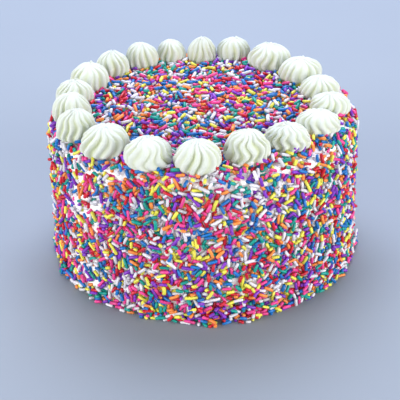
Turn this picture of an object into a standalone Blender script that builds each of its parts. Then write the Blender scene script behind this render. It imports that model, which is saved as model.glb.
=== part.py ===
"""A round frosted cake covered in sprinkles, with a ring of piped cream dollops on its top.

Metres, +Z up. The origin is the middle of the base, and the front of the cake is at -Y.
"""

import math
import random

import bmesh
import bpy
from mathutils import Matrix, Vector

MM = 0.001

# The frosted cake is a short drum with a rounded top rim.
BASE_RADIUS = 101.9 * MM
BODY_HEIGHT = 101.4 * MM
RIM_ROUNDING = 9.0 * MM
TOP_NARROWING = 0.7 * MM
BODY_SEGMENTS = 72
WALL_BANDS = 3
RIM_STEPS = 3
# Smoothing the frosting by hand leaves shallow waves: waves round the wall, depth, start, lean.
WALL_WAVES = ((2, 0.5 * MM, 0.6, 1.5), (5, 0.35 * MM, 2.1, -2.5), (9, 0.2 * MM, 4.0, 4.0))

# Rod sprinkles pressed into the frosting, the longest of those on the cake.
SPRINKLE_RADIUS = 0.95 * MM
SPRINKLE_LENGTHS = (6.4 * MM, 8.6 * MM)
SPRINKLE_SIDES = 5
SPRINKLE_PROUD = 1.1 * MM
WALL_SPRINKLES = 205
RIM_SPRINKLES = 40
TOP_SPRINKLES = 60
WALL_SPRINKLE_HEIGHTS = (5.5 * MM, 87.0 * MM)
RIM_SPRINKLE_RISE = math.radians(28)
TOP_SPRINKLE_REACH = 60.0 * MM
SPRINKLE_SCATTER = 2.0 * MM
GOLDEN_ANGLE = math.pi * (3 - math.sqrt(5))

# The cream dollops, as uneven as they were piped, from the one at the front round to the right:
# angle in degrees from the front, then distance from the middle, width and height in millimetres.
DOLLOPS = (
    (-2.3, 86.1, 29.4, 16.0), (19.2, 81.0, 29.3, 17.5), (40.8, 79.9, 28.7, 13.5), (62.0, 82.3, 28.9, 12.0),
    (81.5, 84.1, 26.9, 12.0), (101.2, 80.1, 27.5, 12.5), (122.4, 81.0, 31.1, 14.5), (144.5, 83.5, 31.2, 15.5),
    (164.3, 87.7, 24.2, 14.5), (179.3, 81.1, 21.0, 16.5), (193.9, 85.8, 21.3, 14.5), (209.4, 84.3, 23.8, 16.5),
    (225.8, 85.8, 24.2, 16.0), (243.5, 84.7, 27.5, 16.0), (261.7, 85.1, 25.6, 15.5), (279.6, 85.1, 26.6, 17.5),
    (297.0, 88.6, 25.4, 17.5), (315.8, 85.8, 31.0, 16.0), (337.4, 85.8, 30.5, 16.0),
)
DOLLOP_SEAT = 0.3 * MM
DOLLOP_RIDGES = 14
# From the pit in the crown down to the foot: share of the radius, share of the height, how far
# the valleys lie inside the ridges, and share of the dollop's twist and lean.
DOLLOP_LEVELS = (
    (0.00, 0.89, 0.00, 1.0),
    (0.25, 1.00, 0.30, 1.0),
    (0.60, 0.90, 0.20, 0.7),
    (0.87, 0.62, 0.16, 0.3),
    (1.00, 0.28, 0.14, 0.0),
    (0.86, 0.00, 0.12, 0.0),
    (0.00, 0.00, 0.00, 0.0),
)
DOLLOP_TWIST = 0.25
DOLLOP_LEAN = 0.9 * MM
SEED = 11

# Colours as sRGB.
FROSTING = (0.95, 0.93, 0.92)
CREAM = (0.95, 0.97, 0.92)
SPRINKLE_COLOURS = {
    "white": (0.95, 0.93, 0.94),
    "red": (0.84, 0.12, 0.22),
    "pink": (0.93, 0.30, 0.58),
    "orange": (0.96, 0.54, 0.23),
    "yellow": (0.91, 0.86, 0.24),
    "green": (0.07, 0.58, 0.50),
    "blue": (0.12, 0.46, 0.78),
    "purple": (0.54, 0.23, 0.75),
}


def linear(colour):
    """An sRGB colour as the linear one that a shader takes."""
    return tuple(c / 12.92 if c <= 0.04045 else ((c + 0.055) / 1.055) ** 2.4 for c in colour)


def plain_material(name, colour, roughness):
    """A non-metal material of one colour."""
    material = bpy.data.materials.new(name)
    material.use_nodes = True
    shader = material.node_tree.nodes["Principled BSDF"]
    shader.inputs["Base Color"].default_value = (*linear(colour), 1)
    shader.inputs["Roughness"].default_value = roughness
    shader.inputs["Metallic"].default_value = 0
    return material


def new_collection(name):
    """An empty collection in the scene."""
    collection = bpy.data.collections.new(name)
    bpy.context.scene.collection.children.link(collection)
    return collection


def mesh_object(name, shape, material, collection):
    """A bmesh made into a named object of one material."""
    mesh = bpy.data.meshes.new(name)
    shape.to_mesh(mesh)
    shape.free()
    mesh.materials.append(material)
    piece = bpy.data.objects.new(name, mesh)
    collection.objects.link(piece)
    return piece


def shade_round(piece, degrees):
    """Smooth shading, with edges sharper than the angle kept crisp."""
    piece.data.shade_smooth()
    piece.data.set_sharp_from_angle(angle=math.radians(degrees))


def toward(angle):
    """The level direction at an angle from the front round to the right."""
    return Vector((math.sin(angle), -math.cos(angle), 0))


def on_body(angle, radius, height):
    """A point of the plain drum, moved by its narrowing and by the waves of its wall."""
    share = height / BODY_HEIGHT
    wave = sum(depth * math.sin(count * angle + start + lean * share)
               for count, depth, start, lean in WALL_WAVES)
    stretch = 1 + (wave - TOP_NARROWING * share) / BASE_RADIUS
    return toward(angle) * radius * stretch + Vector((0, 0, height))


def frosted_body(material, collection):
    """The drum from a cylinder: a rounded rim, bands up its wall, then the waves."""
    shape = bmesh.new()
    bmesh.ops.create_cone(
        shape, cap_ends=True, segments=BODY_SEGMENTS, radius1=BASE_RADIUS, radius2=BASE_RADIUS,
        depth=BODY_HEIGHT, matrix=Matrix.Translation((0, 0, BODY_HEIGHT / 2)),
    )
    middle = BODY_HEIGHT / 2
    rim = [edge for edge in shape.edges if all(vert.co.z > middle for vert in edge.verts)]
    bmesh.ops.bevel(
        shape, geom=rim, offset=RIM_ROUNDING, offset_type='OFFSET', segments=RIM_STEPS,
        profile=0.5, affect='EDGES',
    )
    uprights = [edge for edge in shape.edges
                if min(vert.co.z for vert in edge.verts) < middle < max(vert.co.z for vert in edge.verts)]
    bmesh.ops.subdivide_edges(shape, edges=uprights, cuts=WALL_BANDS - 1, use_grid_fill=True)
    for vert in shape.verts:
        angle = math.atan2(vert.co.x, -vert.co.y)
        vert.co = on_body(angle, math.hypot(vert.co.x, vert.co.y), vert.co.z)
    return mesh_object("cake", shape, material, collection)


def wall_places(draw):
    """Places spread evenly over the wall on a golden-angle spiral, each shifted a little."""
    low, high = WALL_SPRINKLE_HEIGHTS
    for index in range(WALL_SPRINKLES):
        angle = index * GOLDEN_ANGLE + draw.uniform(-1, 1) * SPRINKLE_SCATTER / BASE_RADIUS
        height = low + (high - low) * (index + 0.5) / WALL_SPRINKLES
        height = min(max(height + draw.uniform(-1, 1) * SPRINKLE_SCATTER, low), high)
        yield on_body(angle, BASE_RADIUS, height), angle, 0.0, draw.uniform(0, math.pi)


def rim_places(draw):
    """Places round the rounded rim, where the rods lie nearly level."""
    radius = BASE_RADIUS - RIM_ROUNDING * (1 - math.cos(RIM_SPRINKLE_RISE))
    height = BODY_HEIGHT - RIM_ROUNDING * (1 - math.sin(RIM_SPRINKLE_RISE))
    for index in range(RIM_SPRINKLES):
        angle = 2 * math.pi * (index + draw.uniform(-0.2, 0.2)) / RIM_SPRINKLES
        yield on_body(angle, radius, height), angle, RIM_SPRINKLE_RISE, draw.uniform(-0.4, 0.4)


def top_places(draw):
    """Places over the top inside the dollops, on a sunflower spiral."""
    for index in range(TOP_SPRINKLES):
        radius = TOP_SPRINKLE_REACH * math.sqrt((index + 0.5) / TOP_SPRINKLES)
        radius = min(abs(radius + draw.uniform(-1, 1) * SPRINKLE_SCATTER), TOP_SPRINKLE_REACH)
        angle = index * GOLDEN_ANGLE
        yield on_body(angle, radius, BODY_HEIGHT), angle, math.pi / 2, draw.uniform(0, math.pi)


def sprinkle(name, place, length, material, collection):
    """A short rod that lies on the frosting, sunk until only its outer part stands proud."""
    point, angle, rise, heading = place
    around = toward(angle + math.pi / 2)
    outward = toward(angle) * math.cos(rise) + Vector((0, 0, math.sin(rise)))
    upward = outward.cross(around)
    along = around * math.cos(heading) + upward * math.sin(heading)
    side = along.cross(outward)
    middle = point + outward * (SPRINKLE_PROUD - SPRINKLE_RADIUS)
    turn = Matrix((outward, side, along)).transposed()
    shape = bmesh.new()
    bmesh.ops.create_cone(
        shape, cap_ends=True, segments=SPRINKLE_SIDES, radius1=SPRINKLE_RADIUS,
        radius2=SPRINKLE_RADIUS, depth=length, matrix=Matrix.Translation(middle) @ turn.to_4x4(),
    )
    return mesh_object(name, shape, material, collection)


def scatter_sprinkles(draw, materials, collection):
    """The rods of the wall, the rim and the top, in mixed colours."""
    places = [*wall_places(draw), *rim_places(draw), *top_places(draw)]
    for index, place in enumerate(places):
        length = draw.uniform(*SPRINKLE_LENGTHS)
        sprinkle(f"sprinkle_{index:03d}", place, length, draw.choice(materials), collection)


def fuse(body, pieces):
    """One union of the body with all the objects of a collection, which is then removed."""
    union = body.modifiers.new("sprinkles", 'BOOLEAN')
    union.operation = 'UNION'
    union.operand_type = 'COLLECTION'
    union.collection = pieces
    union.solver = 'EXACT'
    union.material_mode = 'TRANSFER'
    bpy.context.view_layer.objects.active = body
    bpy.ops.object.modifier_apply(modifier=union.name)
    for piece in list(pieces.objects):
        bpy.data.objects.remove(piece)
    bpy.data.collections.remove(pieces)


def dollop(name, centre, width, height, draw, material, collection):
    """A star-tip dollop from a sphere: ridges and valleys gather to a crown with a small pit."""
    levels = len(DOLLOP_LEVELS) - 1
    twist = draw.uniform(-1, 1) * DOLLOP_TWIST
    lean = toward(draw.uniform(0, 2 * math.pi)) * draw.uniform(0.3, 1) * DOLLOP_LEAN
    shape = bmesh.new()
    bmesh.ops.create_uvsphere(shape, u_segments=2 * DOLLOP_RIDGES, v_segments=levels, radius=1)
    for vert in shape.verts:
        level = round(math.acos(max(-1, min(1, vert.co.z))) / math.pi * levels)
        column = round(math.atan2(vert.co.y, vert.co.x) / math.pi * DOLLOP_RIDGES)
        reach, rise, valley, share = DOLLOP_LEVELS[level]
        if column % 2:
            reach *= 1 - valley
        angle = column * math.pi / DOLLOP_RIDGES + twist * share
        vert.co = centre + toward(angle) * reach * width / 2 + lean * share
        vert.co.z += rise * height
    piece = mesh_object(name, shape, material, collection)
    shade_round(piece, 50)
    return piece


def dollop_ring(draw, material, collection):
    """The dollops side by side round the top, each as wide and as tall as it was piped."""
    for number, (degrees, away, width, height) in enumerate(DOLLOPS, start=1):
        centre = toward(math.radians(degrees)) * away * MM + Vector((0, 0, BODY_HEIGHT + DOLLOP_SEAT))
        dollop(f"dollop_{number:02d}", centre, width * MM, height * MM, draw, material, collection)


def main():
    for old in list(bpy.data.objects):
        bpy.data.objects.remove(old)
    draw = random.Random(SEED)
    parts = new_collection("sprinkle_cake")
    loose = new_collection("sprinkles")
    frosting = plain_material("frosting", FROSTING, 0.55)
    cream = plain_material("cream", CREAM, 0.5)
    sugar = [plain_material(f"sugar_{name}", colour, 0.35) for name, colour in SPRINKLE_COLOURS.items()]
    body = frosted_body(frosting, parts)
    scatter_sprinkles(draw, sugar, loose)
    fuse(body, loose)
    shade_round(body, 40)
    dollop_ring(draw, cream, parts)


main()
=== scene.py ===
"""The looks of a sprinkle cake: a frosting coat, piped cream dollops and thousands of sugar rods."""

import math

import bmesh
import bpy
import numpy as np
from mathutils import Matrix, Vector, noise


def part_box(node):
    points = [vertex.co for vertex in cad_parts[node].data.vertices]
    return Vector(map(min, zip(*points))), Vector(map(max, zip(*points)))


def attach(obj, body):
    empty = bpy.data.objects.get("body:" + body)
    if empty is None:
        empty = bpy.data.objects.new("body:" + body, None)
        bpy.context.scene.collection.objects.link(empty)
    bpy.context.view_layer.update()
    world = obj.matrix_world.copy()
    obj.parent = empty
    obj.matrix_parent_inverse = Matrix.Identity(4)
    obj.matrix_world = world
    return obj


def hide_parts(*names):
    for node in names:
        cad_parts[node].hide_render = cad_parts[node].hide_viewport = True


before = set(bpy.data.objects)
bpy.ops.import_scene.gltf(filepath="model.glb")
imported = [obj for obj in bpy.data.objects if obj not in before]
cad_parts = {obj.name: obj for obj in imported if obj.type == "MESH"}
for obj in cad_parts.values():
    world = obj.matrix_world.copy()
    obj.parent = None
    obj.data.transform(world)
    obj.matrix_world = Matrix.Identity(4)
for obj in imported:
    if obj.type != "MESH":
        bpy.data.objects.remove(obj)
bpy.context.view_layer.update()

MM = 0.001
BODY = "root"
DOLLOP_NODES = sorted(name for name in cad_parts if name.startswith("dollop_"))
# Anywhere in a full turn, in radians, and what each random choice starts from.
ANY_ANGLE = (0, 6.3)
SEEDS = {"patches": 3, "cream": 5, "wall": 21, "top": 22, "colours": 23, "foot": 24}

# The frosting, as the model gives it: its wall and its waves. Each wave has its count round the
# cake, its depth, its start and its lean over the height. The rounding is the coat's own.
DOLLOP_SEAT = 0.3 * MM
FROSTING_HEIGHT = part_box(DOLLOP_NODES[0])[0].z - DOLLOP_SEAT
FROSTING_RADIUS = 101.9 * MM
COAT_ROUNDING = 5.0 * MM
TOP_NARROWING = 0.7 * MM
WALL_WAVES = ((2, 0.5 * MM, 0.6, 1.5), (5, 0.35 * MM, 2.1, -2.5), (9, 0.2 * MM, 4.0, 4.0))
# The coat lies this far inside, so that the pressed-in sprinkles end where the model's do.
COAT_INSET = 4.0 * MM
TOP_INSET = 2.4 * MM
COAT_RADIUS = FROSTING_RADIUS - COAT_INSET
WALL_HEIGHT = FROSTING_HEIGHT - TOP_INSET - COAT_ROUNDING
RIM_ARC = COAT_ROUNDING * math.pi / 2
# The wall's bed of rods runs on over the rim to here, where the top's bed begins.
TOP_BED_RADIUS = 91 * MM
WALL_DEPTH = WALL_HEIGHT + RIM_ARC + COAT_RADIUS - COAT_ROUNDING - TOP_BED_RADIUS
COAT_COLUMNS = 360
COAT_ROWS = 56
COAT_RIM_ROWS = 8
COAT_TOP_RINGS = 8
COAT_CREASE = math.radians(50)
SPATULA_DEPTH = 0.35 * MM
SPATULA_GRAIN = 16 * MM

# A star tip's dollop, from the plug that joins it to the frosting up to the pit in its crown: share
# of the radius, share of the height, and how far the valleys lie inside the ridges.
RIDGES = 14
RIDGE_COLUMNS = 4
DOLLOP_COLUMNS = RIDGE_COLUMNS * RIDGES
DOLLOP_LEVELS = (
    (0.70, -0.20, 0.06),
    (0.80, 0.00, 0.12),
    (0.93, 0.035, 0.19),
    (0.985, 0.14, 0.23),
    (1.00, 0.27, 0.25),
    (0.985, 0.42, 0.25),
    (0.925, 0.57, 0.25),
    (0.82, 0.71, 0.25),
    (0.68, 0.82, 0.25),
    (0.52, 0.905, 0.25),
    (0.37, 0.96, 0.25),
    (0.25, 0.99, 0.24),
    (0.16, 0.995, 0.16),
    (0.08, 0.975, 0.06),
)
# The dollop that every other is a copy of, before it is fitted to its node.
PATTERN_RADIUS = 14 * MM
PATTERN_HEIGHT = 16 * MM
# How deep a valley's flanks are, and where the painted shade in its valleys, a darker green colour,
# fades out below the crown.
FLANK_SHARE = 0.22
VALLEY_SHADE_FADE = 0.3
# How unlike each other the valleys are in depth, and the ridges in their spacing and, below a
# level, in their reach.
VALLEY_STRENGTHS = (0.6, 1.2)
RIDGE_SHIFT = 0.16
RIDGE_REACH = (0.95, 1.03)
RIDGE_REACH_LEVELS = 8
DOLLOP_LEAN = 1.2 * MM
LEAN_SHARES = (0.2, 1)
# The torn tips of the crown: their mean and spread as shares of the lift.
CROWN_LEVEL = 10
TIP_LIFT = 1.2 * MM
TIP_SHARES = (0.15, 0.5)
CREAM_SAG = 0.45 * MM
CREAM_SAG_GRAIN = 9 * MM

# How the ridges run, from the foot up: their swirl, their sway, how often it turns, and where it
# starts. The sway also lags from ridge to ridge, so many times round the dollop and by so much.
SWIRLS = (-0.25, 0.25)
SWAYS = (0.09, 0.18)
SWAY_TURNS = (1.0, 2.4)
SWAY_LAGS = ((2, 0.7), (3, 0.4))
CROWN_CALM = 0.3
# The same for the nearest dollops, as the photograph shows them.
FRONT_FLOWS = {
    "dollop_18": (0.15, 0.22, 1.3, 3.0),
    "dollop_19": (-0.15, 0.22, 1.8, 0.2),
    "dollop_01": (0.10, 0.16, 1.2, 3.6),
    "dollop_02": (-0.05, 0.20, 2.6, 0.5),
    "dollop_03": (0.05, 0.17, 3.2, 1.0),
    "dollop_04": (-0.10, 0.15, 2.0, 4.0),
    "dollop_05": (0.15, 0.17, 1.5, 2.0),
}

# Sugar rods: the pattern, and how the real ones differ from it and from each other.
ROD_SIDES = 6
ROD_RADIUS = 1.05 * MM
ROD_LENGTH = 6 * MM
ROD_ROUNDING = 0.52 * MM
ROD_LENGTHS = (2.8 * MM, 8.6 * MM)
ROD_LENGTH_MIDDLE = 5.0 * MM
ROD_LENGTH_SPREAD = 1.3 * MM
ROD_GIRTH_SPREAD = 0.07
ROD_BEND = 0.45 * MM
ROD_BEND_SPREAD = 0.45

# How rods lie: the share of its radius that each is pressed into what carries it, how deep the
# first ones sink into the frosting, the steepest slope, and the lowest place on the wall.
ROD_PRESS = 0.12
ROD_SINK = 0.6 * MM
ROD_STEEPEST = 0.45
FLOOR_CLEARANCE = 0.6 * MM
# The cells of a bed, and how many places each rod is tried in. A rod feels what carries it at
# these shares of its half length and of its radius.
GRID = 0.35 * MM
CHOICES = 24
FELT_ALONG = np.linspace(-0.9, 0.9, 7)
FELT_ASIDE = np.array((-0.6, 0.0, 0.6))
WALL_RODS = 8900
TOP_RODS = 3100

# Bare patches on the wall come from waves of these lengths laid over each other: where they rise
# over the start, rods are turned away. There are more patches along the rim and on the left.
THIN_GRAIN = (5.5 * MM, 12 * MM)
THIN_WAVES = 16
THIN_START = 1.6
THIN_EDGE = 0.7
THIN_HEIGHT = 7 * MM
RIM_SHARE = 0.5
RIM_BELT = 6 * MM
LEFT_SHARE = 0.85
LEFT_ANGLE = math.radians(55)
LEFT_SPREAD = 0.12
LEFT_BANDS = 11 * MM
# The frosting swells out in the patches, and all over on the left.
SWELL = 2.4 * MM
LEFT_SWELL = 0.92
LEFT_GRAIN = 0.12
# Rods heap up along the foot of the wall, and lie thinner on the rim at the back.
FOOT_HEAP = 3.5 * MM
FOOT_HEAP_BELT = 3.5 * MM
FOOT_HEAPS = 21
BACK_THIN = 2.2 * MM
BACK_BELT = 4 * MM

# Rods that have slid down lie on the ground round the foot, close to it, within a belt that bulges
# at the front and has waves: count, depth as a share of the belt, and start.
FOOT_RODS = 420
FOOT_RADIUS = 100.5 * MM
FOOT_BELT = 9 * MM
FOOT_LIFT = 0.3 * MM
FOOT_PULL = 0.4
BELT_SHARE = 0.42
BULGE_SHARE = 0.5
BULGE_ANGLE = 0.1
BULGE_SPREAD = 0.045
BELT_WAVES = ((17, 0.12, 2), (31, 0.09, 0))

# Shares of a dollop's radius: rods keep out of its foot on the top and of its plug over the rim,
# and heap up against it within the last.
CREAM_FOOT = 0.84
CREAM_PLUG = 0.52
CREAM_APRON = 1.12
HEAP_HEIGHT = 0.8 * MM

# Sugar colours as sRGB, and how often each one comes up.
SUGAR = {
    "white": ("#d2d0d8", 0.215),
    "red": ("#c2142c", 0.11),
    "pink": ("#de408a", 0.12),
    "orange": ("#e8863c", 0.10),
    "yellow": ("#ded84e", 0.10),
    "green": ("#009084", 0.115),
    "blue": ("#106ab4", 0.135),
    "purple": ("#7a30b2", 0.115),
}

# The studio, in metres and watts: each lamp's place, size, power and tint.
FLOOR_SIZE = 8
ROOM_COLOUR = "#f4f7ff"
ROOM_STRENGTH = 0.05
LAMPS = {
    "left_light": ((-1.3, -0.6, 0.38), 0.9, 24, "#ffffff"),
    "right_light": ((1.3, -0.7, 0.38), 0.9, 26, "#ffffff"),
    "front_light": ((0.1, -1.5, 0.6), 0.8, 11, "#ffffff"),
    "back_light": ((0, 0.75, 1.2), 1.2, 43, "#e0e8fc"),
}
LAMP_AIM = (0, 0, 0.05)

# The photograph's view: pitch down, yaw and roll in radians, the lens for a 36 mm sensor.
CAMERA_PLACE = (0.0, -734.3 * MM, 432.3 * MM)
CAMERA_PITCH = 0.4996
CAMERA_YAW = -0.0037
CAMERA_ROLL = -0.0255
CAMERA_LENS = 109.87
SENSOR_WIDTH = 36.0


def linear(hex_colour):
    """An sRGB hex colour as the linear one that a shader takes."""
    parts = [int(hex_colour[i:i + 2], 16) / 255 for i in (1, 3, 5)]
    return (*(c / 12.92 if c <= 0.04045 else ((c + 0.055) / 1.055) ** 2.4 for c in parts), 1)


def add_node(tree, kind, settings=None, links=None):
    """Adds a node, with its properties and socket values set and its inputs joined to outputs."""
    node = tree.nodes.new(kind)
    for name, value in (settings or {}).items():
        if isinstance(name, int) or name in node.inputs:
            node.inputs[name].default_value = value
        else:
            setattr(node, name, value)
    for name, output in (links or {}).items():
        tree.links.new(output, node.inputs[name])
    return node


def start_material(name):
    """A new node material: its tree, its main shader and the object coordinates."""
    material = bpy.data.materials.new(name)
    material.use_nodes = True
    tree = material.node_tree
    place = add_node(tree, "ShaderNodeTexCoord")
    return material, tree, tree.nodes["Principled BSDF"], place.outputs["Object"]


def set_shader(shader, settings):
    """Sets values on the shader's own sockets."""
    for name, value in settings.items():
        shader.inputs[name].default_value = value


def buttercream_smoothed():
    """White buttercream smoothed with a spatula: satin, faintly translucent, with fine air pits."""
    material, tree, shader, place = start_material("buttercream_smoothed")
    cloud = add_node(tree, "ShaderNodeTexNoise", {"Scale": 1 / (9 * MM), "Detail": 3.0},
                     {"Vector": place})
    tint = add_node(tree, "ShaderNodeMix",
                    {"data_type": 'RGBA', 6: linear("#f7f3f1"), 7: linear("#ece6e4")},
                    {0: cloud.outputs["Fac"]})
    tree.links.new(tint.outputs[2], shader.inputs["Base Color"])
    pits = add_node(tree, "ShaderNodeTexNoise", {"Scale": 1 / (0.9 * MM), "Detail": 4.0},
                    {"Vector": place})
    bump = add_node(tree, "ShaderNodeBump", {"Strength": 0.35, "Distance": 0.2 * MM},
                    {"Height": pits.outputs["Fac"]})
    tree.links.new(bump.outputs["Normal"], shader.inputs["Normal"])
    set_shader(shader, {"Roughness": 0.5, "IOR": 1.45, "Subsurface Weight": 0.3,
                        "Subsurface Radius": (1.0, 0.9, 0.8), "Subsurface Scale": 1.5 * MM})
    return material


def buttercream_whipped():
    """Whipped buttercream from a star tip: off-white and satin, with painted shade in the valleys: a
    darker, greener colour there.
    """
    material, tree, shader, place = start_material("buttercream_whipped")
    valley_shade = add_node(tree, "ShaderNodeAttribute", {"attribute_name": "valley_shade"})
    # Painted shade: the valleys get a darker, greener colour that stands in for the shade falling in
    # them.
    tint = add_node(tree, "ShaderNodeMix",
                    {"data_type": 'RGBA', 6: linear("#c7ccc4"), 7: linear("#bbc29f")},
                    {0: valley_shade.outputs["Fac"]})
    tree.links.new(tint.outputs[2], shader.inputs["Base Color"])
    pits = add_node(tree, "ShaderNodeTexNoise", {"Scale": 1 / (0.7 * MM), "Detail": 4.0},
                    {"Vector": place})
    bump = add_node(tree, "ShaderNodeBump", {"Strength": 0.25, "Distance": 0.15 * MM},
                    {"Height": pits.outputs["Fac"]})
    tree.links.new(bump.outputs["Normal"], shader.inputs["Normal"])
    set_shader(shader, {"Roughness": 0.6, "IOR": 1.45, "Specular IOR Level": 0.3,
                        "Subsurface Weight": 0.12, "Subsurface Radius": (1.0, 0.95, 0.7),
                        "Subsurface Scale": 1.2 * MM})
    return material


def pressed_sugar(name, hex_colour):
    """Extruded sugar with a confectioner's glaze: even colour, each rod a little paler or deeper."""
    material, tree, shader, place = start_material(f"pressed_sugar_{name}")
    tone = add_node(tree, "ShaderNodeAttribute", {"attribute_name": "tone"})
    shade = add_node(tree, "ShaderNodeMapRange", {"To Min": 0.84, "To Max": 1.10},
                     {"Value": tone.outputs["Fac"]})
    body = add_node(tree, "ShaderNodeHueSaturation", {"Color": linear(hex_colour)},
                    {"Value": shade.outputs[0]})
    dust = add_node(tree, "ShaderNodeTexNoise", {"Scale": 1 / (1.2 * MM), "Detail": 3.0},
                    {"Vector": place})
    haze = add_node(tree, "ShaderNodeMapRange", {"From Min": 0.5, "From Max": 0.8, "To Max": 0.05},
                    {"Value": dust.outputs["Fac"]})
    tint = add_node(tree, "ShaderNodeMix", {"data_type": 'RGBA', 7: linear("#ffffff")},
                    {0: haze.outputs[0], 6: body.outputs[0]})
    tree.links.new(tint.outputs[2], shader.inputs["Base Color"])
    set_shader(shader, {"Roughness": 0.36, "IOR": 1.45, "Specular IOR Level": 0.4})
    return material


def seamless_paper():
    """A pale studio sheet, matt, with a faint unevenness."""
    material, tree, shader, place = start_material("seamless_paper")
    cloud = add_node(tree, "ShaderNodeTexNoise", {"Scale": 4.0, "Detail": 2.0}, {"Vector": place})
    tint = add_node(tree, "ShaderNodeMix",
                    {"data_type": 'RGBA', 6: linear("#858d98"), 7: linear("#8c949e")},
                    {0: cloud.outputs["Fac"]})
    tree.links.new(tint.outputs[2], shader.inputs["Base Color"])
    set_shader(shader, {"Roughness": 0.8})
    return material


def take_up(piece):
    """Makes a piece the only selected one, and the active one."""
    bpy.ops.object.select_all(action='DESELECT')
    piece.select_set(True)
    bpy.context.view_layer.objects.active = piece


def new_piece(name):
    """The primitive that was just added, named, with its place put in its mesh."""
    piece = bpy.context.object
    piece.name = piece.data.name = name
    take_up(piece)
    bpy.ops.object.transform_apply(location=True, rotation=True, scale=True)
    return piece


def choose(piece, test, kind):
    """In edit mode, selects just the edges or faces that pass a test."""
    modes = {"edges": (False, True, False), "faces": (False, False, True)}
    bpy.context.tool_settings.mesh_select_mode = modes[kind]
    shape = bmesh.from_edit_mesh(piece.data)
    shape.select_mode = {kind[:-1].upper()}
    for part in (*shape.verts, *shape.edges, *shape.faces):
        part.select = False
    for part in getattr(shape, kind):
        part.select_set(bool(test(part)))
    shape.select_flush_mode()
    bmesh.update_edit_mesh(piece.data)


def finish_modifier(piece, kind, **settings):
    """Adds a modifier with its settings and applies it."""
    modifier = piece.modifiers.new(kind.lower(), kind)
    for name, value in settings.items():
        setattr(modifier, name, value)
    take_up(piece)
    bpy.ops.object.modifier_apply(modifier=modifier.name)


def belongs(piece, material, node=None):
    """Gives a piece its finish and its body, and hides the node that it stands for."""
    piece.data.materials.clear()
    piece.data.materials.append(material)
    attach(piece, BODY)
    if node:
        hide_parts(node)


def wave_stretch(angle, height):
    """How much the hand-smoothed wall swells or shrinks at an angle and a height."""
    share = height / FROSTING_HEIGHT
    wave = -TOP_NARROWING * share
    for count, depth, start, lean in WALL_WAVES:
        wave = wave + depth * np.sin(count * angle + start + lean * share)
    return 1 + wave / FROSTING_RADIUS


def frosting_coat(material):
    """The frosting from a cylinder: a rounded rim, rows up the wall, rings on the top, waves."""
    height = FROSTING_HEIGHT - TOP_INSET
    bpy.ops.mesh.primitive_cylinder_add(vertices=COAT_COLUMNS, radius=COAT_RADIUS, depth=height,
                                        location=(0, 0, height / 2))
    coat = new_piece("frosting_coat")
    bpy.ops.object.mode_set(mode='EDIT')
    choose(coat, lambda edge: all(vert.co.z > height / 2 for vert in edge.verts), "edges")
    bpy.ops.mesh.bevel(offset=COAT_ROUNDING, segments=COAT_RIM_ROWS, affect='EDGES')
    choose(coat, lambda edge: min(vert.co.z for vert in edge.verts) < height / 2 < max(
        vert.co.z for vert in edge.verts), "edges")
    bpy.ops.mesh.subdivide(number_cuts=COAT_ROWS)
    choose(coat, lambda face: face.normal.z > 0.99 and len(face.verts) > 4, "faces")
    for _ in range(COAT_TOP_RINGS):
        bpy.ops.mesh.inset(thickness=(COAT_RADIUS - COAT_ROUNDING) / (COAT_TOP_RINGS + 1))
    bpy.ops.object.mode_set(mode='OBJECT')
    x, y, z = mesh_points(coat).T
    angle, reach = np.arctan2(x, -y), np.hypot(x, y)
    turn = np.clip(np.arctan2(z - WALL_HEIGHT, reach - COAT_RADIUS + COAT_ROUNDING), 0, math.pi / 2)
    inward = np.where(z > WALL_HEIGHT, np.maximum(COAT_RADIUS - COAT_ROUNDING - reach, 0), 0)
    up = np.minimum(z, WALL_HEIGHT) + COAT_ROUNDING * turn + inward
    grain = np.array([noise.noise(vert.co / SPATULA_GRAIN) for vert in coat.data.vertices])
    swollen = thin_patches(angle * COAT_RADIUS, up)[1]
    swell = np.where(z > 0, grain * SPATULA_DEPTH + SWELL * swollen, 0)
    reach = reach * wave_stretch(angle, z) + swell * np.cos(turn)
    where = np.stack([reach * np.sin(angle), -reach * np.cos(angle), z + swell * np.sin(turn)], -1)
    coat.data.vertices.foreach_set("co", where.astype(np.float32).ravel())
    coat.data.shade_smooth()
    coat.data.set_sharp_from_angle(angle=COAT_CREASE)
    belongs(coat, material, "cake")


def star_pattern():
    """One straight dollop of typical size, its foot at the origin: a cylinder's top face is extruded
    and resized from level to level."""
    bottom, top = (rise * PATTERN_HEIGHT for _, rise, _ in DOLLOP_LEVELS[:2])
    first, second = DOLLOP_LEVELS[0][0], DOLLOP_LEVELS[1][0]
    bpy.ops.mesh.primitive_cylinder_add(vertices=DOLLOP_COLUMNS, radius=PATTERN_RADIUS * first,
                                        depth=top - bottom, location=(0, 0, (top + bottom) / 2))
    pattern = new_piece("star_pattern")
    bpy.ops.object.mode_set(mode='EDIT')
    choose(pattern, lambda face: all(vert.co.z > top - MM / 10 for vert in face.verts), "faces")
    bpy.ops.transform.resize(value=(second / first, second / first, 1), center_override=(0, 0, top))
    for (below, low, _), (reach, rise, _) in zip(DOLLOP_LEVELS[1:], DOLLOP_LEVELS[2:]):
        step = (rise - low) * PATTERN_HEIGHT
        bpy.ops.mesh.extrude_region_move(TRANSFORM_OT_translate={"value": (0, 0, step)})
        bpy.ops.transform.resize(value=(reach / below, reach / below, 1),
                                 center_override=(0, 0, rise * PATTERN_HEIGHT))
    bpy.ops.object.mode_set(mode='OBJECT')
    return pattern


def pattern_places(pattern):
    """For each point of the pattern: its level and its column."""
    levels, columns = [], []
    for vert in pattern.data.vertices:
        reach = math.hypot(vert.co.x, vert.co.y) / PATTERN_RADIUS
        misses = [math.hypot(reach - r, vert.co.z / PATTERN_HEIGHT - z) for r, z, _ in DOLLOP_LEVELS]
        levels.append(misses.index(min(misses)))
        turned = math.atan2(vert.co.y, vert.co.x) / (2 * math.pi)
        columns.append(round(turned * DOLLOP_COLUMNS) % DOLLOP_COLUMNS)
    return np.array(levels), np.array(columns)


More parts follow.
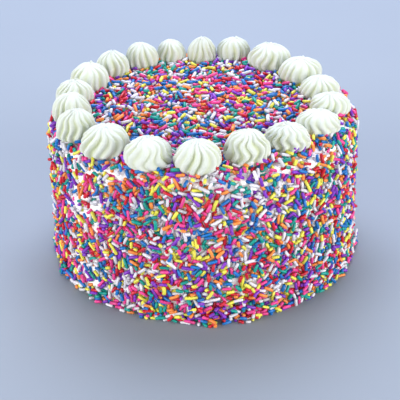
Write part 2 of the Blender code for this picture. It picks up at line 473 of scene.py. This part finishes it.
def cream_dollop(name, node, pattern, places, draw, material):
    """A copy of the pattern in its node's place: its ridges drawn out and its valleys drawn in, with
    its own swirl, sway, lean, torn tips and sag, then fitted to the node's width."""
    low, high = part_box(node)
    centre = (low + high) / 2
    radius = (high.y - low.y + high.x - low.x) / 4
    height = high.z - low.z
    piece = pattern.copy()
    piece.data = pattern.data.copy()
    piece.name = piece.data.name = name
    bpy.context.scene.collection.objects.link(piece)

    levels, columns = places
    reach, rise, valley = np.array(DOLLOP_LEVELS)[levels].T
    share = np.clip(rise, 0, 1)
    ridge = np.round(columns / RIDGE_COLUMNS).astype(int) % RIDGES
    strength = draw.uniform(*VALLEY_STRENGTHS, RIDGES)[columns // RIDGE_COLUMNS]
    depth = np.array((0.0, FLANK_SHARE, 1.0, FLANK_SHARE))[columns % RIDGE_COLUMNS] * strength
    flow = [draw.uniform(*span) for span in (SWIRLS, SWAYS, SWAY_TURNS, ANY_ANGLE)]
    swirl, sway, turns, start = FRONT_FLOWS.get(node, flow)
    shift = draw.uniform(-RIDGE_SHIFT, RIDGE_SHIFT, RIDGES)
    shift = np.interp(columns / RIDGE_COLUMNS, range(RIDGES + 1), [*shift, shift[0]])
    angle = (columns / RIDGE_COLUMNS + shift) * 2 * math.pi / RIDGES
    lag = sum(size * np.sin(count * angle + draw.uniform(*ANY_ANGLE)) for count, size in SWAY_LAGS)
    run = profile_runs()[levels]
    swing = np.sin(2 * math.pi * turns * run + start + lag)
    turned = swirl * run + sway * (1 - CROWN_CALM * run) * swing
    push = draw.uniform(*RIDGE_REACH, RIDGES)[ridge]
    push = np.where((depth < 0.5) & (levels < RIDGE_REACH_LEVELS), push, 1)
    out = radius * reach * (1 - valley * depth) * push
    lean, lean_angle = draw.uniform(*LEAN_SHARES) * DOLLOP_LEAN * share, draw.uniform(*ANY_ANGLE)
    tips = np.maximum(draw.normal(*TIP_SHARES, RIDGES), 0)[ridge] * TIP_LIFT * (1 - depth)
    lift = tips * np.where(levels == CROWN_LEVEL, 0.5, levels > CROWN_LEVEL)
    where = np.stack([centre.x + out * np.cos(angle + turned) + lean * math.cos(lean_angle),
                      centre.y + out * np.sin(angle + turned) + lean * math.sin(lean_angle),
                      low.z + rise * height + lift * (levels < len(DOLLOP_LEVELS) - 1)], -1)
    piece.data.vertices.foreach_set("co", where.astype(np.float32).ravel())
    # Painted shade: each point's depth down a valley, fading out below the crown, darkens the cream's
    # colour there.
    valley_shade = piece.data.attributes.new("valley_shade", 'FLOAT', 'POINT')
    tint = depth * np.clip((1 - share) / VALLEY_SHADE_FADE, 0, 1)
    valley_shade.data.foreach_set("value", tint.astype(np.float32))

    finish_modifier(piece, 'SUBSURF', levels=2, render_levels=2)
    for vert in piece.data.vertices:
        if vert.co.z > low.z:
            vert.co += noise.noise_vector(vert.co / CREAM_SAG_GRAIN) * CREAM_SAG
    lowest, highest = bounds_of(piece)
    fit = (high.x - low.x + high.y - low.y) / (highest.x - lowest.x + highest.y - lowest.y)
    middle = (lowest + highest) / 2
    piece.data.transform(
        Matrix.Translation((centre.x, centre.y, 0)) @ Matrix.Diagonal((fit, fit, 1, 1))
        @ Matrix.Translation((-middle.x, -middle.y, 0)))
    piece.data.shade_smooth()
    belongs(piece, material, node)


def profile_runs():
    """How far along the profile each level lies, from 0 at the foot to 1 at the pit."""
    points = np.array(DOLLOP_LEVELS)[:, :2] * (PATTERN_RADIUS, PATTERN_HEIGHT)
    steps = np.hypot(*np.diff(points, axis=0).T)
    return np.concatenate([[0], np.cumsum(steps)]) / steps.sum()


def mesh_points(piece):
    """The points of a mesh as rows."""
    points = np.empty(3 * len(piece.data.vertices))
    piece.data.vertices.foreach_get("co", points)
    return points.reshape(-1, 3)


def bounds_of(piece):
    """The lowest and highest corner of a mesh."""
    points = mesh_points(piece)
    return Vector(points.min(0)), Vector(points.max(0))


def cream_ring(material):
    """All the dollops of the ring."""
    draw = np.random.default_rng(SEEDS["cream"])
    # The sag's noise starts from the clock unless it is given a seed.
    noise.seed_set(SEEDS["cream"])
    pattern = star_pattern()
    places = pattern_places(pattern)
    for node in DOLLOP_NODES:
        cream_dollop(f"cream_{node}", node, pattern, places, draw, material)
    bpy.data.objects.remove(pattern)


def rod_pattern():
    """One sugar rod along Z from a cylinder: blunt rounded ends and a ring of points half way."""
    bpy.ops.mesh.primitive_cylinder_add(vertices=ROD_SIDES, radius=ROD_RADIUS, depth=ROD_LENGTH)
    rod = new_piece("rod_pattern")
    bpy.ops.object.mode_set(mode='EDIT')
    choose(rod, lambda edge: abs(edge.verts[0].co.z - edge.verts[1].co.z) > MM, "edges")
    bpy.ops.mesh.subdivide(number_cuts=1)
    choose(rod, lambda edge: all(abs(vert.co.z) > ROD_LENGTH / 4 for vert in edge.verts) and abs(
        edge.verts[0].co.z - edge.verts[1].co.z) < MM, "edges")
    bpy.ops.mesh.bevel(offset=ROD_ROUNDING, segments=1, affect='EDGES')
    bpy.ops.object.mode_set(mode='OBJECT')
    points = mesh_points(rod)
    faces = [tuple(face.vertices) for face in rod.data.polygons]
    bpy.data.objects.remove(rod)
    return points, faces


class SprinkleBed:
    """How high sprinkles already lie over a stretch of frosting or ground, kept on a fine grid."""

    def __init__(self, wide, deep, closed):
        self.heights = np.full((round(wide / GRID), round(deep / GRID)), -ROD_SINK)
        self.blocked = np.zeros(self.heights.shape, bool)
        self.passed_over = np.zeros(self.heights.shape)
        self.closed = closed

    def places(self):
        """Across and up of the middle of every cell."""
        columns, rows = (np.arange(count) + 0.5 for count in self.heights.shape)
        return np.meshgrid(columns * GRID, rows * GRID, indexing="ij")

    def cells(self, across, up):
        """Grid cells of places; a closed bed runs on from its end to its start."""
        columns = np.floor(across / GRID).astype(int)
        rows = np.clip(np.floor(up / GRID).astype(int), 0, self.heights.shape[1] - 1)
        if self.closed:
            return columns % self.heights.shape[0], rows
        return np.clip(columns, 0, self.heights.shape[0] - 1), rows

    def rest(self, across, up, heading, half, radius):
        """Height of the middle, slope and fitness of a rod dropped at each of these places."""
        steps = (FELT_ALONG * half)[None, :, None]
        aside = (FELT_ASIDE * radius)[None, None, :]
        sine, cosine = np.sin(heading)[:, None, None], np.cos(heading)[:, None, None]
        x = across[:, None, None] + steps * cosine - aside * sine
        y = up[:, None, None] + steps * sine + aside * cosine
        cells = self.cells(x, y)
        underside = radius - np.sqrt(radius ** 2 - aside ** 2)
        support = (self.heights[cells] - underside).max(2)
        steps = steps[0, :, 0]
        rows = np.arange(len(across))
        half_way = len(steps) // 2
        left = support[:, :half_way].argmax(1)
        right = half_way + 1 + support[:, half_way + 1:].argmax(1)
        slope = (support[rows, right] - support[rows, left]) / (steps[right] - steps[left])
        slope = np.clip(slope, -ROD_STEEPEST, ROD_STEEPEST)
        middle = (support - slope[:, None] * steps).max(1) + radius * (1 - ROD_PRESS)
        score = middle + self.passed_over[cells].mean((1, 2))
        shut = self.blocked[cells].any((1, 2)) | (y.min((1, 2)) < FLOOR_CLEARANCE)
        return middle, slope, np.where(shut, np.inf, score)

    def lay(self, across, up, heading, half, radius, middle, slope):
        """Marks the top of one rod on the grid."""
        spread = math.ceil((half + radius) / GRID)
        offsets = np.arange(-spread, spread + 1) * GRID
        dx, dy = np.meshgrid(offsets, offsets, indexing="ij")
        along = dx * math.cos(heading) + dy * math.sin(heading)
        aside = dy * math.cos(heading) - dx * math.sin(heading)
        inside = (np.abs(along) < half) & (np.abs(aside) < radius)
        along, aside = along[inside], aside[inside]
        top = middle + slope * along + np.sqrt(radius ** 2 - aside ** 2)
        cells = self.cells(across + dx[inside], up + dy[inside])
        np.maximum.at(self.heights, cells, top)

    def drop(self, count, seed):
        """Lays rods one by one, each where it comes to rest lowest of a few random places."""
        draw = np.random.default_rng(seed)
        wide, deep = np.array(self.heights.shape) * GRID
        laid = []
        for length, radius in zip(*rod_sizes(draw, count)):
            across, up = draw.uniform(0, wide, CHOICES), draw.uniform(0, deep, CHOICES)
            heading = draw.uniform(0, math.pi, CHOICES)
            middle, slope, score = self.rest(across, up, heading, length / 2, radius)
            best = score.argmin()
            if math.isfinite(score[best]):
                rod = (across[best], up[best], heading[best], length / 2, radius, middle[best],
                       slope[best])
                self.lay(*rod)
                laid.append(rod)
        return np.array(laid)


def rod_sizes(draw, count):
    """Lengths and radii of rods, most of them near the middle length."""
    lengths = np.clip(draw.normal(ROD_LENGTH_MIDDLE, ROD_LENGTH_SPREAD, count), *ROD_LENGTHS)
    radii = ROD_RADIUS * draw.normal(1, ROD_GIRTH_SPREAD, count)
    return lengths, radii


def cream_places():
    """The middle and the radius of each dollop, seen from above."""
    rows = []
    for node in DOLLOP_NODES:
        low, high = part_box(node)
        middle = (low + high) / 2
        rows.append((middle.x, middle.y, (high.x - low.x + high.y - low.y) / 4))
    return np.array(rows)


def under_cream(x, y, creams, share):
    """Whether places, seen from above, lie within a share of some dollop's radius."""
    apart = np.hypot(x[..., None] - creams[:, 0], y[..., None] - creams[:, 1])
    return (apart < share * creams[:, 2]).any(-1)


def wall_frame(across, up):
    """Point, directions around and up the frosting, and outward, for places on the wall's bed.

    Across runs round the wall and up runs up the wall, over the rim and in over the top."""
    angle = across / COAT_RADIUS
    turn = np.clip((up - WALL_HEIGHT) / COAT_ROUNDING, 0, math.pi / 2)
    inward = np.maximum(up - WALL_HEIGHT - RIM_ARC, 0)
    radius = COAT_RADIUS - COAT_ROUNDING * (1 - np.cos(turn)) - inward
    height = np.minimum(up, WALL_HEIGHT) + COAT_ROUNDING * np.sin(turn)
    radius = radius * wave_stretch(angle, height)
    level = np.stack([np.sin(angle), -np.cos(angle), np.zeros_like(angle)], -1)
    around = np.stack([np.cos(angle), np.sin(angle), np.zeros_like(angle)], -1)
    upright = np.array([0.0, 0.0, 1.0])
    point = level * radius[..., None] + upright * height[..., None]
    outward = level * np.cos(turn)[..., None] + upright * np.sin(turn)[..., None]
    upward = upright * np.cos(turn)[..., None] - level * np.sin(turn)[..., None]
    return point, around, upward, outward


def top_frame(across, up):
    """The same for places on the top's bed, whose corner is at its lowest x and y."""
    x, y = across - TOP_BED_RADIUS, up - TOP_BED_RADIUS
    point = np.stack([x, y, np.full_like(x, FROSTING_HEIGHT - TOP_INSET)], -1)
    flat = np.ones(x.shape + (1,))
    return point, flat * [1.0, 0, 0], flat * [0, 1.0, 0], flat * [0, 0, 1.0]


def thin_patches(across, up):
    """How bare each place on the wall is, and how far the frosting swells out there, both 0 to 1:
    small patches, more of them along the rim, and a thin layer of rods on the left."""
    draw = np.random.default_rng(SEEDS["patches"])
    angle = across / COAT_RADIUS
    lengths = draw.uniform(*THIN_GRAIN, THIN_WAVES)
    leans = draw.uniform(0, math.pi, THIN_WAVES)
    starts = draw.uniform(0, 2 * math.pi, THIN_WAVES)
    grain = 0
    for length, lean, start in zip(lengths, leans, starts):
        turns = round(2 * math.pi / length * math.cos(lean) * COAT_RADIUS)
        grain = grain + np.sin(turns * angle + 2 * math.pi / length * math.sin(lean) * up + start)
    grain = grain / math.sqrt(THIN_WAVES / 2)
    rim = np.exp(-((up - WALL_HEIGHT) / RIM_BELT) ** 2)
    off = np.remainder(angle + LEFT_ANGLE + math.pi, 2 * math.pi) - math.pi
    left = np.exp(-off ** 2 / LEFT_SPREAD) * (0.8 + 0.2 * np.cos(up / LEFT_BANDS))
    fade = np.clip((WALL_DEPTH - up) / RIM_BELT, 0, 1)
    bare = (grain + RIM_SHARE * rim + LEFT_SHARE * left - THIN_START) / THIN_EDGE
    bare = np.clip(bare, 0, 1) * fade
    swollen = np.clip(LEFT_SWELL * left + LEFT_GRAIN * grain * left, 0, 1) * fade
    return bare, np.maximum(bare, swollen)


def rods_in_space(laid, surface):
    """Middle, lengthwise direction and sideways direction of rods, with their size."""
    across, up, heading, half, radius, middle, slope = laid.T
    point, around, upward, outward = surface(across, up)
    flat = around * np.cos(heading)[:, None] + upward * np.sin(heading)[:, None]
    along = flat + outward * slope[:, None]
    along /= np.linalg.norm(along, axis=1)[:, None]
    side = np.cross(outward, along)
    side /= np.linalg.norm(side, axis=1)[:, None]
    return point + outward * middle[:, None], along, side, half, radius


def wall_rods(creams):
    """Rods over the wall, the rim and the outer top between the dollops."""
    bed = SprinkleBed(2 * math.pi * COAT_RADIUS, WALL_DEPTH, closed=True)
    across, up = bed.places()
    points = wall_frame(across, up)[0]
    x, y, over_wall = points[..., 0], points[..., 1], up > WALL_HEIGHT
    bed.blocked = under_cream(x, y, creams, CREAM_PLUG) & over_wall
    heaped = under_cream(x, y, creams, CREAM_APRON) & over_wall
    bare, swollen = thin_patches(across, up)
    bed.heights += SWELL * swollen
    heaps = 0.6 + 0.4 * np.sin(FOOT_HEAPS * across / COAT_RADIUS + 1)
    foot = np.exp(-(up / FOOT_HEAP_BELT) ** 2) * heaps
    back = 0.5 - 0.5 * np.cos(across / COAT_RADIUS)
    rim = np.exp(-((up - WALL_HEIGHT - RIM_ARC / 2) / BACK_BELT) ** 2)
    bed.passed_over = np.where(heaped, -HEAP_HEIGHT, THIN_HEIGHT * bare - FOOT_HEAP * foot)
    bed.passed_over += BACK_THIN * back * rim
    return rods_in_space(bed.drop(WALL_RODS, SEEDS["wall"]), wall_frame)


def top_rods(creams):
    """Rods over the top, inside the ring and between its dollops."""
    bed = SprinkleBed(2 * TOP_BED_RADIUS, 2 * TOP_BED_RADIUS, closed=False)
    x, y = (place - TOP_BED_RADIUS for place in bed.places())
    bed.blocked = under_cream(x, y, creams, CREAM_FOOT) | (np.hypot(x, y) > TOP_BED_RADIUS)
    return rods_in_space(bed.drop(TOP_RODS, SEEDS["top"]), top_frame)


def foot_frame(across, up):
    """The same for places on the ground round the foot; here up runs outward."""
    angle = across / FOOT_RADIUS
    level = np.stack([np.sin(angle), -np.cos(angle), np.zeros_like(angle)], -1)
    around = np.stack([np.cos(angle), np.sin(angle), np.zeros_like(angle)], -1)
    return level * (FOOT_RADIUS + up)[..., None], around, level, np.zeros_like(level) + [0, 0, 1.0]


def foot_rods():
    """Rods on the ground against the foot, in small heaps."""
    bed = SprinkleBed(2 * math.pi * FOOT_RADIUS, FOOT_BELT, closed=True)
    across, up = bed.places()
    angle = across / FOOT_RADIUS
    share = BELT_SHARE + BULGE_SHARE * np.exp((np.cos(angle - BULGE_ANGLE) - 1) / BULGE_SPREAD)
    for count, depth, start in BELT_WAVES:
        share = share + depth * np.sin(count * angle + start)
    bed.heights[:] = FOOT_LIFT
    bed.blocked = up > FOOT_BELT * share
    bed.passed_over = FOOT_PULL * up
    return rods_in_space(bed.drop(FOOT_RODS, SEEDS["foot"]), foot_frame)


def joined_rods(name, rods, points, faces, draw):
    """One mesh of many rods: each is the pattern stretched, bent a little, turned and moved."""
    middle, along, side, half, radius = rods
    count = len(half)
    stretch = np.sign(points[:, 2]) * (half[:, None] - ROD_LENGTH / 2)
    z = np.where(np.abs(points[:, 2]) > ROD_LENGTH / 8, points[:, 2] + stretch, points[:, 2])
    girth = (radius / ROD_RADIUS)[:, None]
    bend = draw.normal(0, ROD_BEND_SPREAD, count) * ROD_BEND
    bend = bend[:, None] * (0.5 - (z / half[:, None]) ** 2)
    x = points[:, 0] * girth + bend
    y = points[:, 1] * girth
    third = np.cross(along, side)
    where = (middle[:, None] + side[:, None] * x[..., None] + third[:, None] * y[..., None]
             + along[:, None] * z[..., None])
    shifts = np.arange(count) * len(points)
    numbers = [tuple(int(corner + shift) for corner in face) for shift in shifts for face in faces]
    mesh = bpy.data.meshes.new(name)
    mesh.from_pydata(where.reshape(-1, 3), [], numbers)
    tone = mesh.attributes.new("tone", 'FLOAT', 'POINT')
    tone.data.foreach_set("value", np.repeat(draw.uniform(0, 1, count), len(points)).astype(np.float32))
    mesh.shade_smooth()
    piece = bpy.data.objects.new(name, mesh)
    bpy.context.scene.collection.objects.link(piece)
    return piece


def sprinkles():
    """Every sugar rod of the cake, one piece for each colour."""
    points, faces = rod_pattern()
    creams = cream_places()
    beds = [wall_rods(creams), top_rods(creams), foot_rods()]
    rods = [np.concatenate(parts) for parts in zip(*beds)]
    draw = np.random.default_rng(SEEDS["colours"])
    shares = np.array([share for _, share in SUGAR.values()])
    colour = draw.choice(len(SUGAR), len(rods[3]), p=shares / shares.sum())
    for number, (name, (hex_colour, _)) in enumerate(SUGAR.items()):
        own = [part[colour == number] for part in rods]
        piece = joined_rods(f"sprinkles_{name}", own, points, faces, draw)
        belongs(piece, pressed_sugar(name, hex_colour))


def soft_light(name, place, size, watts, tint):
    """A large square lamp that looks at the cake's middle."""
    lamp = bpy.data.lights.new(name, 'AREA')
    lamp.size = size
    lamp.energy = watts
    lamp.color = linear(tint)[:3]
    holder = bpy.data.objects.new(name, lamp)
    holder.location = place
    aim = Vector(LAMP_AIM) - Vector(place)
    holder.rotation_euler = aim.to_track_quat('-Z', 'Y').to_euler()
    bpy.context.scene.collection.objects.link(holder)


def studio():
    """A pale floor, a faint even light from all round, and large soft lamps at both sides, in front
    and above."""
    bpy.ops.object.select_all(action='DESELECT')
    bpy.ops.mesh.primitive_plane_add(size=FLOOR_SIZE)
    floor = new_piece("floor")
    floor.data.materials.append(seamless_paper())
    world = bpy.data.worlds.new("studio")
    bpy.context.scene.world = world
    world.use_nodes = True
    set_shader(world.node_tree.nodes["Background"],
               {"Color": linear(ROOM_COLOUR), "Strength": ROOM_STRENGTH})
    for name, (place, size, watts, tint) in LAMPS.items():
        soft_light(name, place, size, watts, tint)
    bpy.context.scene.view_settings.view_transform = 'Standard'


def camera():
    """The camera where the photograph was taken from."""
    eye = bpy.data.cameras.new("camera")
    eye.lens = CAMERA_LENS
    eye.sensor_width = SENSOR_WIDTH
    holder = bpy.data.objects.new("camera", eye)
    ahead = Vector((math.sin(CAMERA_YAW) * math.cos(CAMERA_PITCH),
                    math.cos(CAMERA_YAW) * math.cos(CAMERA_PITCH), -math.sin(CAMERA_PITCH)))
    level = Vector((math.cos(CAMERA_YAW), -math.sin(CAMERA_YAW), 0))
    above = level.cross(ahead)
    right = level * math.cos(CAMERA_ROLL) + above * math.sin(CAMERA_ROLL)
    up = above * math.cos(CAMERA_ROLL) - level * math.sin(CAMERA_ROLL)
    turn = Matrix((right, up, -ahead)).transposed().to_4x4()
    holder.matrix_world = Matrix.Translation(CAMERA_PLACE) @ turn
    bpy.context.scene.collection.objects.link(holder)
    bpy.context.scene.camera = holder


def main():
    camera()
    studio()
    frosting_coat(buttercream_smoothed())
    cream_ring(buttercream_whipped())
    sprinkles()


main()
